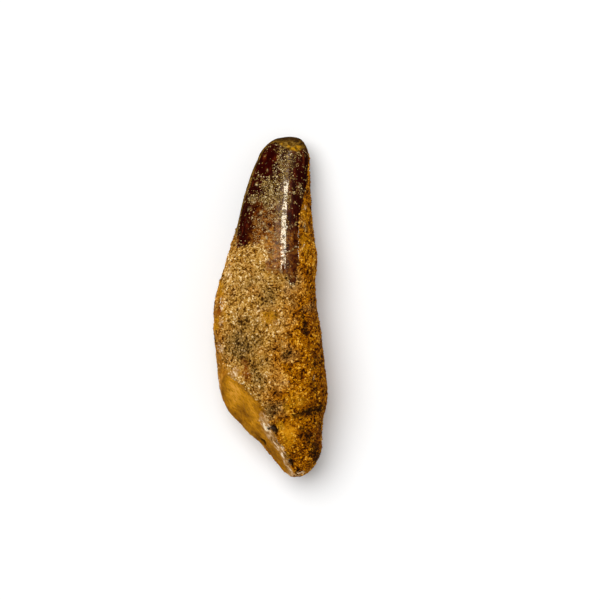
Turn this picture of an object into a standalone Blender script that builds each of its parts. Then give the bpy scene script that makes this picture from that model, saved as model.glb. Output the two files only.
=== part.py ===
"""Fossil spinosaurus tooth with its crust of cemented sand, as one solid.

The tooth lies on its back on the plane z = 0. Its tip points along +Y, +X is its
right-hand side seen from above, and +Z is up. The origin is on that plane, under
the middle of its bounding box. All sizes below are in millimetres.
"""

import math

import bmesh
import bpy
import numpy as np

MM = 0.001

# Left and right edges seen from above, as (x, y), from the tip to the root end.
LEFT_EDGE = (
    (3.6, 34.9), (1.3, 34.7), (-0.5, 33.6), (-1.9, 32.0), (-3.5, 29.1), (-5.9, 21.9),
    (-7.1, 16.4), (-8.6, 11.4), (-9.9, 6.6), (-11.3, 3.2), (-11.6, 0.4), (-11.7, -5.2),
    (-10.9, -12.0), (-10.2, -17.8), (-8.7, -21.4), (-3.4, -26.6), (0.6, -30.6),
    (2.9, -33.4), (4.2, -34.6), (5.4, -34.9),
)
RIGHT_EDGE = (
    (3.6, 34.9), (5.7, 34.7), (7.0, 33.9), (7.7, 32.6), (7.9, 30.4), (8.0, 26.8),
    (8.4, 21.0), (8.8, 15.2), (9.5, 9.0), (9.3, 3.2), (10.1, -4.0), (11.2, -13.0),
    (11.8, -18.3), (11.1, -21.6), (10.5, -25.4), (10.1, -28.9), (9.8, -31.0),
    (8.8, -32.4), (7.3, -33.7), (5.4, -34.9),
)

# Upper and lower edges seen from the side, as (z, y), from the tip to the root end.
UPPER_EDGE = (
    (4.6, 34.9), (7.4, 34.3), (8.9, 32.7), (10.0, 29.8), (12.0, 23.0), (14.0, 14.6),
    (15.8, 7.0), (17.4, 0.4), (18.0, -7.0), (18.1, -13.6), (17.4, -18.6), (15.8, -22.2),
    (14.3, -25.6), (12.9, -29.4), (10.9, -32.9), (7.8, -34.9),
)
LOWER_EDGE = (
    (4.6, 34.9), (2.4, 34.4), (1.5, 32.9), (1.1, 30.4), (0.4, 20.0), (-0.2, 9.0),
    (-0.4, 0.0), (-0.5, -12.0), (-0.3, -20.0), (0.9, -26.0), (3.0, -31.0), (5.4, -34.0),
    (7.8, -34.9),
)

# Powers of the superelliptic cross-sections: 2 is an ellipse, and more is fuller.
TIP_FULLNESS = 2.0
ROOT_FULLNESS = 2.6

# How finely the body is divided. END_CROWDING is 0 for evenly spaced rings.
RINGS = 46
SIDES = 40
END_CROWDING = 0.8
SPAN_STEPS = 16
CUT_REACH = 1e-7

# Worn tip: a flat that leans back from the front of the crown to its far side.
WEAR_FRONT = (3.6, 32.4, 9.2)
WEAR_LEAN_DEG = 28.0

# Broken face at the lower left: it rises inwards from a straight line along the edge.
BREAK_START = (-6.9, -23.4, 7.9)
BREAK_END = (2.4, -32.8, 8.0)
BREAK_RISE = 1.3

# The plane that the tooth lies on.
REST_POINT = (0.0, 0.0, 0.0)
REST_NORMAL = (0.0, 0.0, -1.0)

CRUST_COLOUR = (0.50, 0.30, 0.10, 1.0)
CRUST_ROUGHNESS = 0.85


def clear_scene():
    """Remove the objects that the file opens with."""
    for thing in list(bpy.data.objects):
        bpy.data.objects.remove(thing)


def smooth_curve(points):
    """A Catmull-Rom curve through the points, with even parameter steps in each span."""
    knots = np.array(points, float)
    before = 2 * knots[0] - knots[1]
    after = 2 * knots[-1] - knots[-2]
    knots = np.vstack((before, knots, after))
    steps = np.linspace(0.0, 1.0, SPAN_STEPS, endpoint=False)[:, None]
    spans = []
    for a, b, c, d in zip(knots, knots[1:], knots[2:], knots[3:]):
        bend = (2 * a - 5 * b + 4 * c - d) * steps**2
        swing = (3 * b - a - 3 * c + d) * steps**3
        spans.append(0.5 * (2 * b + (c - a) * steps + bend + swing))
    return np.vstack(spans + [knots[-2:-1]])


def edge_at(edge, stations):
    """The edge's distance from the lengthwise axis at each station along Y."""
    curve = smooth_curve(edge)
    order = np.argsort(curve[:, 1])
    return np.interp(stations, curve[order, 1], curve[order, 0])


def ring_stations():
    """Places of the rings along Y, closer together towards both ends."""
    top = LEFT_EDGE[0][1]
    bottom = LEFT_EDGE[-1][1]
    even = np.linspace(0.0, 1.0, RINGS + 2)[1:-1]
    crowded = 0.5 - 0.5 * np.cos(math.pi * even)
    share = END_CROWDING * crowded + (1.0 - END_CROWDING) * even
    return top + (bottom - top) * share


def signed_power(values, power):
    """A power of each value's size that keeps its sign."""
    return np.sign(values) * np.abs(values) ** power


def ring_points(stations):
    """One superelliptic ring at each station, as an array of rings, sides and x, y, z."""
    left = edge_at(LEFT_EDGE, stations)
    right = edge_at(RIGHT_EDGE, stations)
    upper = edge_at(UPPER_EDGE, stations)
    lower = edge_at(LOWER_EDGE, stations)
    along = (stations[0] - stations) / (stations[0] - stations[-1])
    power = 2.0 / (TIP_FULLNESS + (ROOT_FULLNESS - TIP_FULLNESS) * along)
    angles = 2.0 * math.pi * np.arange(SIDES) / SIDES
    across = signed_power(np.cos(angles)[None, :], power[:, None])
    height = signed_power(np.sin(angles)[None, :], power[:, None])
    x = (left + right)[:, None] / 2.0 + (right - left)[:, None] / 2.0 * across
    z = (upper + lower)[:, None] / 2.0 + (upper - lower)[:, None] / 2.0 * height
    y = np.broadcast_to(stations[:, None], x.shape)
    return np.stack((x, y, z), axis=2)


def pole(side_point, depth_point):
    """Where an end's edges meet, from one point seen from above and one from the side."""
    return (side_point[0] * MM, side_point[1] * MM, depth_point[0] * MM)


def add_body(mesh):
    """Loft the rings and close both ends with a fan around a pole."""
    rings = ring_points(ring_stations())
    rows = [[mesh.verts.new(point * MM) for point in ring] for ring in rings]
    tip = mesh.verts.new(pole(LEFT_EDGE[0], UPPER_EDGE[0]))
    root = mesh.verts.new(pole(LEFT_EDGE[-1], UPPER_EDGE[-1]))
    for i in range(SIDES):
        j = (i + 1) % SIDES
        mesh.faces.new((tip, rows[0][i], rows[0][j]))
        mesh.faces.new((root, rows[-1][j], rows[-1][i]))
        for near, far in zip(rows, rows[1:]):
            mesh.faces.new((near[i], far[i], far[j], near[j]))
    bmesh.ops.recalc_face_normals(mesh, faces=mesh.faces)


def cut_flat(mesh, point, normal):
    """Remove what stands beyond a plane and close the cut with one flat face."""
    geometry = list(mesh.verts) + list(mesh.edges) + list(mesh.faces)
    cut = bmesh.ops.bisect_plane(
        mesh, geom=geometry, dist=CUT_REACH, plane_co=np.array(point) * MM,
        plane_no=normal, clear_outer=True,
    )
    rim = [piece for piece in cut["geom_cut"] if isinstance(piece, bmesh.types.BMEdge)]
    bmesh.ops.contextual_create(mesh, geom=rim)
    bmesh.ops.recalc_face_normals(mesh, faces=mesh.faces)


def wear_normal():
    """Outward normal of the worn tip, which leans up from the lengthwise axis."""
    lean = math.radians(WEAR_LEAN_DEG)
    return (0.0, math.cos(lean), math.sin(lean))


def break_normal():
    """Outward normal of the plane that holds the break's line and its rise inwards."""
    line = np.subtract(BREAK_END, BREAK_START)
    inwards = np.array((-line[1], line[0], 0.0))
    inwards /= np.linalg.norm(inwards)
    rise = inwards + np.array((0.0, 0.0, BREAK_RISE))
    normal = np.cross(line, rise)
    return tuple(normal / np.linalg.norm(normal))


def centre_on_base(mesh):
    """Move the middle of the bounding box over the origin, and leave the heights alone."""
    xs = [vert.co.x for vert in mesh.verts]
    ys = [vert.co.y for vert in mesh.verts]
    shift = (-(min(xs) + max(xs)) / 2.0, -(min(ys) + max(ys)) / 2.0, 0.0)
    bmesh.ops.translate(mesh, verts=mesh.verts, vec=shift)


def crust_material():
    """Matt ochre, the mean colour of the sandy crust."""
    material = bpy.data.materials.new("sandy_crust")
    material.use_nodes = True
    shader = material.node_tree.nodes["Principled BSDF"]
    shader.inputs["Base Color"].default_value = CRUST_COLOUR
    shader.inputs["Roughness"].default_value = CRUST_ROUGHNESS
    shader.inputs["Metallic"].default_value = 0.0
    return material


def build_tooth():
    """The lofted body with its worn tip, its broken face and the flat it lies on."""
    mesh = bmesh.new()
    add_body(mesh)
    cut_flat(mesh, WEAR_FRONT, wear_normal())
    cut_flat(mesh, BREAK_START, break_normal())
    cut_flat(mesh, REST_POINT, REST_NORMAL)
    centre_on_base(mesh)
    data = bpy.data.meshes.new("tooth")
    mesh.to_mesh(data)
    mesh.free()
    data.materials.append(crust_material())
    tooth = bpy.data.objects.new("tooth", data)
    bpy.context.scene.collection.objects.link(tooth)


clear_scene()
build_tooth()
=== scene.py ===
"""Looks of the fossil spinosaurus tooth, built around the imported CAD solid.

The tooth's skin is read off the CAD solid by rays, smoothed, and given the relief of
enamel, sandy crust and broken face. Sand grains lie on it as small bodies of their own.
Lengths are millimetres until a mesh is made. Lights and clipping are set in metres.
"""

import itertools
import math
from collections import namedtuple

import bmesh
import bpy
import numpy as np
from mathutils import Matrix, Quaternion, Vector
from mathutils.bvhtree import BVHTree
from mathutils.kdtree import KDTree


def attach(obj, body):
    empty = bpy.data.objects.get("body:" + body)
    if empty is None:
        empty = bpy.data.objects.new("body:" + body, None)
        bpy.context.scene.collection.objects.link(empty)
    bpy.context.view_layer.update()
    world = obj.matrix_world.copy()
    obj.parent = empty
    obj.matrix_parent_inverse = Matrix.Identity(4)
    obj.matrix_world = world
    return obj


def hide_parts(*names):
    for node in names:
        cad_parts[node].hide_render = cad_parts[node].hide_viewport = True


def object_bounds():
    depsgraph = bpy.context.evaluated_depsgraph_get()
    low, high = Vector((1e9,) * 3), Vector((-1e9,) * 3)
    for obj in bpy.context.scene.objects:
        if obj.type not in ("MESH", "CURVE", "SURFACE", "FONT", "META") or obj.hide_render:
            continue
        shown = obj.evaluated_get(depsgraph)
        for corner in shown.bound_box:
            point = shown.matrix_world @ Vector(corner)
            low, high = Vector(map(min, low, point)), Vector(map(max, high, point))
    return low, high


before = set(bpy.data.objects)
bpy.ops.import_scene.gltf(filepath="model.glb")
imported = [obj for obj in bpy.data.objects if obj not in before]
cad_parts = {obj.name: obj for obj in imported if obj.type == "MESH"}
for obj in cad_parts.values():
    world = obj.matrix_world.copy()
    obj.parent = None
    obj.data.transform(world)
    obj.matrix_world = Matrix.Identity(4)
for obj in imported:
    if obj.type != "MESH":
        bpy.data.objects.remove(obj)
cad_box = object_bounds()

MM = 0.001
SEED = 7
FAR = 200.0
TINY = 1e-9


# ---------------------------------------------------------------- noise

HASH_PRIMES = (73856093, 19349663, 83492791)
HASH_SEED_STEP = 2654435761
HASH_SEED_START = 97
HASH_MIX = 6364136223846793005
HASH_LAST_MIX = 11400714819323198485
LAYERED_GAIN = 1.5


def hashed(cells, seed):
    """A repeatable number from 0 to 1 for each row of whole numbers."""
    mixed = cells.astype(np.int64).astype(np.uint64)
    total = np.full(mixed.shape[:-1], seed * HASH_SEED_STEP + HASH_SEED_START, np.uint64)
    for axis, prime in enumerate(HASH_PRIMES):
        total = (total ^ (mixed[..., axis] * np.uint64(prime))) * np.uint64(HASH_MIX)
        total ^= total >> np.uint64(29)
    total = (total ^ (total >> np.uint64(32))) * np.uint64(HASH_LAST_MIX)
    return (total >> np.uint64(40)).astype(float) / float(1 << 24)


def value_noise(points, size, seed):
    """Smooth noise from -1 to 1 whose lumps are about size across."""
    grid = points / size
    cells = np.floor(grid)
    part = grid - cells
    part = part * part * (3.0 - 2.0 * part)
    total = np.zeros(len(points))
    for corner in itertools.product((0, 1), repeat=3):
        share = np.prod(np.where(corner, part, 1.0 - part), axis=1)
        total += share * hashed(cells + np.array(corner), seed)
    return 2.0 * total - 1.0


def turned(points, seed):
    """The points turned to an arbitrary fixed orientation, to hide the noise's lattice."""
    frame_of = np.random.default_rng(seed).normal(size=(3, 3))
    basis, _ = np.linalg.qr(frame_of)
    return points @ basis


def layered_noise(points, size, layers, seed):
    """Noise from about -1 to 1 with finer layers at half the size and strength each."""
    total = np.zeros(len(points))
    for layer in range(layers):
        share = 0.5**layer
        total += share * value_noise(turned(points, seed + layer), size * share, seed + layer)
    return total / (2.0 - 0.5 ** (layers - 1)) * LAYERED_GAIN


def skin_noise(points, kind):
    """Layered noise of one named kind, as (size in millimetres, layers, seed)."""
    size, layers, seed = kind
    return layered_noise(points, size, layers, SEED + seed)


def nearest_cell(points, size, seed):
    """Distance to the nearest of many scattered points, in sizes, and that point's number."""
    grid = turned(points, seed) / size
    cells = np.floor(grid)
    nearest = np.full(len(points), FAR)
    number = np.zeros(len(points))
    for step in itertools.product((-1, 0, 1), repeat=3):
        cell = cells + np.array(step)
        place = np.stack([hashed(cell, seed + k) for k in (11, 12, 13)], axis=1)
        gap = np.linalg.norm(cell + place - grid, axis=1)
        closer = gap < nearest
        nearest = np.where(closer, gap, nearest)
        number = np.where(closer, hashed(cell, seed + 14), number)
    return nearest, number


def ease(low, high, values):
    """0 below low, 1 above high, and a smooth step between."""
    part = np.clip((values - low) / (high - low), 0.0, 1.0)
    return part * part * (3.0 - 2.0 * part)


# ---------------------------------------------------------------- the skin

# The skin's grid: columns round the tooth, and rows on its barrel and on each end's cap.
AROUND = 284
BARREL_ROWS = 272
TIP_ROWS = 34
ROOT_ROWS = 40
TIP_CAP_DEPTH = 4.6
ROOT_CAP_DEPTH = 6.2
POLE_LEAN = math.pi / 2 - 1e-4
# The line through the middle that its rays start from.
SPINE_STEPS = 60
SPINE_INSET = 1.0
SPINE_HEIGHT = 9.0
SPINE_PASSES = 4
SPINE_BLUR = 7
# The solid's flat faces, by roughly where they face, and when a ray ends on one.
FLAT_DIRECTIONS = {
    "rest": (0.0, 0.0, -1.0),
    "worn": (0.0, 0.88, 0.47),
    "broken": (-0.55, -0.57, 0.60),
}
FLAT_AGREEMENT = 0.8
ON_FLAT_WITHIN = 0.02
GRAZING = 1e-3
# Smoothing of the curved skin in rows and columns, and rounding of its edges at the flats.
SMOOTH_ROWS = 6.0
SMOOTH_COLUMNS = 6.0
LEAST_TRUST = 1e-4
EDGE_ROUNDING = 0.22
# Where the flats' finish starts and is full, and the margin of smooth crust beside the break.
FLAT_FADE = (0.35, -0.15)
BREAK_MARGIN = (1.6, 0.6)


def cad_surface(node):
    """The CAD solid's triangles in millimetres, and a tree to cast rays at."""
    mesh = node.data
    mesh.calc_loop_triangles()
    points = np.array([v.co for v in mesh.vertices]) / MM
    triangles = np.array([t.vertices for t in mesh.loop_triangles])
    tree = BVHTree.FromPolygons(points.tolist(), triangles.tolist())
    return points, triangles, tree


def flat_faces(points, triangles):
    """The solid's three large flat faces as {name: (outward normal, offset along it)}."""
    a, b, c = (points[triangles[:, k]] for k in range(3))
    across = np.cross(b - a, c - a)
    area = np.linalg.norm(across, axis=1) / 2.0
    normals = across / np.maximum(2.0 * area[:, None], TINY)
    offsets = (normals * a).sum(axis=1)
    flats = {}
    for name, roughly in FLAT_DIRECTIONS.items():
        facing = np.where(normals @ np.array(roughly) > FLAT_AGREEMENT, area, 0.0)
        largest = int(np.argmax(facing))
        flats[name] = (normals[largest], offsets[largest])
    return flats


def spine_through(tree, low, high):
    """A smooth line through the middle of the solid, as y, x and z samples."""
    stations = np.linspace(low, high, SPINE_STEPS)
    middle = Vector((0.0, 0.0, SPINE_HEIGHT))
    line = []
    for y in stations:
        for _ in range(SPINE_PASSES):
            start = Vector((middle.x, y, middle.z))
            left, right, down, up = (
                tree.ray_cast(start, Vector(way))[3] or 0.0
                for way in ((-1, 0, 0), (1, 0, 0), (0, 0, -1), (0, 0, 1))
            )
            middle.x += (right - left) / 2.0
            middle.z += (up - down) / 2.0
        line.append((middle.x, middle.z))
    kernel = np.hanning(SPINE_BLUR + 2)[1:-1]
    kernel /= kernel.sum()
    padded = np.pad(np.array(line), ((SPINE_BLUR // 2, SPINE_BLUR // 2), (0, 0)), mode="edge")
    smooth = np.stack([np.convolve(padded[:, k], kernel, "valid") for k in (0, 1)], axis=1)
    return stations, smooth[:, 0], smooth[:, 1]


def ray_rows(tip_y, root_y, spine):
    """Each row's ray origin, and its lean from crosswise towards the tip."""
    stations, xs, zs = spine
    tip_start = tip_y - TIP_CAP_DEPTH
    root_start = root_y + ROOT_CAP_DEPTH
    barrel = np.linspace(tip_start, root_start, BARREL_ROWS)
    tip_lean = np.linspace(math.pi / 2, 0.0, TIP_ROWS, endpoint=False)
    root_lean = np.linspace(-math.pi / 2, 0.0, ROOT_ROWS, endpoint=False)[::-1]
    heights = np.concatenate((np.full(TIP_ROWS, tip_start), barrel, np.full(ROOT_ROWS, root_start)))
    leans = np.concatenate((tip_lean, np.zeros(BARREL_ROWS), root_lean))
    leans[0] = POLE_LEAN
    leans[-1] = -POLE_LEAN
    origins = np.column_stack(
        (np.interp(heights, stations, xs), heights, np.interp(heights, stations, zs))
    )
    return origins, leans


def ray_ways(leans):
    """Each ray's direction, in rows and columns."""
    angles = 2.0 * math.pi * np.arange(AROUND) / AROUND
    ways = np.empty((len(leans), AROUND, 3))
    ways[..., 0] = np.cos(leans)[:, None] * np.cos(angles)
    ways[..., 1] = np.sin(leans)[:, None]
    ways[..., 2] = np.cos(leans)[:, None] * np.sin(angles)
    return ways


def cast_rays(tree, origins, ways):
    """Each ray's length up to the solid's surface."""
    reach = np.empty(ways.shape[:2])
    for row, origin in enumerate(origins):
        start = Vector(origin)
        for column in range(AROUND):
            reach[row, column] = tree.ray_cast(start, Vector(ways[row, column]))[3]
    return reach


def rays_to_flats(flats, starts, ways):
    """Each ray's length up to the plane of each flat, or FAR where it doesn't meet it."""
    to_flat = {}
    for name, (normal, offset) in flats.items():
        facing = ways @ normal
        gap = offset - starts @ normal
        to_flat[name] = np.where(facing > GRAZING, gap / np.maximum(facing, GRAZING), FAR)
    return to_flat


def blur(values, weights, sigma_rows, sigma_columns):
    """Weighted Gaussian mean over the grid, which closes on itself sideways."""
    for axis, sigma in ((0, sigma_rows), (1, sigma_columns)):
        reach = int(3 * sigma)
        offsets = np.arange(-reach, reach + 1)
        kernel = np.exp(-0.5 * (offsets / sigma) ** 2)
        top, bottom = np.zeros_like(values), np.zeros_like(weights)
        for offset, share in zip(offsets, kernel):
            if axis == 1:
                v = np.roll(values * weights, offset, axis=1)
                w = np.roll(weights, offset, axis=1)
            else:
                rows = np.clip(np.arange(len(values)) + offset, 0, len(values) - 1)
                v, w = (values * weights)[rows], weights[rows]
            top += share * v
            bottom += share * w
        values = top / np.maximum(bottom, TINY)
        weights = bottom / kernel.sum()
    return values, weights


def smooth_minimum(flat, curved):
    """The shorter of two lengths, rounded where they are nearly the same."""
    mix = np.clip(0.5 + 0.5 * (flat - curved) / EDGE_ROUNDING, 0.0, 1.0)
    return flat + (curved - flat) * mix - EDGE_ROUNDING * mix * (1.0 - mix)


def read_skin(node):
    """The smoothed skin as a grid of points, and how much each point lies on each flat."""
    points, triangles, tree = cad_surface(node)
    flats = flat_faces(points, triangles)
    low, high = points.min(axis=0), points.max(axis=0)
    spine = spine_through(tree, low[1] + SPINE_INSET, high[1] - SPINE_INSET)
    origins, leans = ray_rows(high[1], low[1], spine)
    ways = ray_ways(leans)
    reach = cast_rays(tree, origins, ways)
    starts = np.repeat(origins[:, None, :], AROUND, axis=1)
    to_flat = rays_to_flats(flats, starts, ways)
    on_flat = np.any([np.abs(length - reach) < ON_FLAT_WITHIN for length in to_flat.values()], axis=0)
    curved, trust = blur(reach, (~on_flat).astype(float), SMOOTH_ROWS, SMOOTH_COLUMNS)
    curved = np.where(trust > LEAST_TRUST, curved, FAR)
    rounded = smooth_minimum(np.minimum.reduce(list(to_flat.values())), curved)
    rounded[0] = rounded[0].mean()
    rounded[-1] = rounded[-1].mean()
    flatness = {name: ease(*FLAT_FADE, length - curved) for name, length in to_flat.items()}
    flatness["near_break"] = ease(*BREAK_MARGIN, to_flat["broken"] - curved)
    return starts + ways * rounded[..., None], flatness


# ---------------------------------------------------------------- areas of the skin

# Height of the crust's upper limit at each angle round the crown, as (degrees, y).
# 0 is the right-hand side, 90 is the front, 180 is the left-hand side and 270 is the back.
CRUST_LIMIT = (
    (0, 32.0), (8, 30.2), (13, 27.8), (18, 26.0), (23, 24.9), (31.6, 23.9), (35.5, 23.5),
    (41.5, 22.9), (46.6, 21.9), (49.9, 20.7), (52.5, 19.6), (55.4, 17.8), (56.6, 15.4),
    (58, 13.4), (59.4, 11.0), (60.2, 8.4), (60.8, 5.4), (62.5, 4.6), (69.0, 4.4), (74.2, 5.7),
    (79, 6.5), (85.3, 6.8), (88.4, 7.2), (91.0, 8.4), (92.5, 9.6), (95.5, 10.8), (102.2, 12.2),
    (109, 12.6), (120, 12.4), (140, 12.0), (158, 13.6), (180, 16.2), (205, 14.8), (235, 10.5),
    (262, 7.5), (290, 12.0), (325, 22.0), (352, 29.0), (360, 32.0),
)
# Lower edge of the worn tip: across the front as (x, y), and round the rim as (degrees, y).
WORN_FRONT = (
    (-4.5, 30.5), (-2.4, 31.8), (-1.3, 33.0), (-0.5, 33.4), (1.5, 33.6), (2.3, 32.7),
    (4.2, 31.9), (6.0, 31.9), (7.2, 32.4), (8.5, 31.8),
)
WORN_RIM = (
    (0, 28.5), (9, 31.0), (18, 33.5), (90, 34.5), (146, 34.0), (151, 31.0), (157, 28.5),
    (163, 12.5), (178, 12.5), (184, 26.0), (205, 26.0), (235, 28.5), (270, 31.0), (315, 28.5),
    (360, 28.5),
)
# How far the edges of the worn rim wander round the crown.
RIM_WANDER_DEG = 10.0
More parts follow.
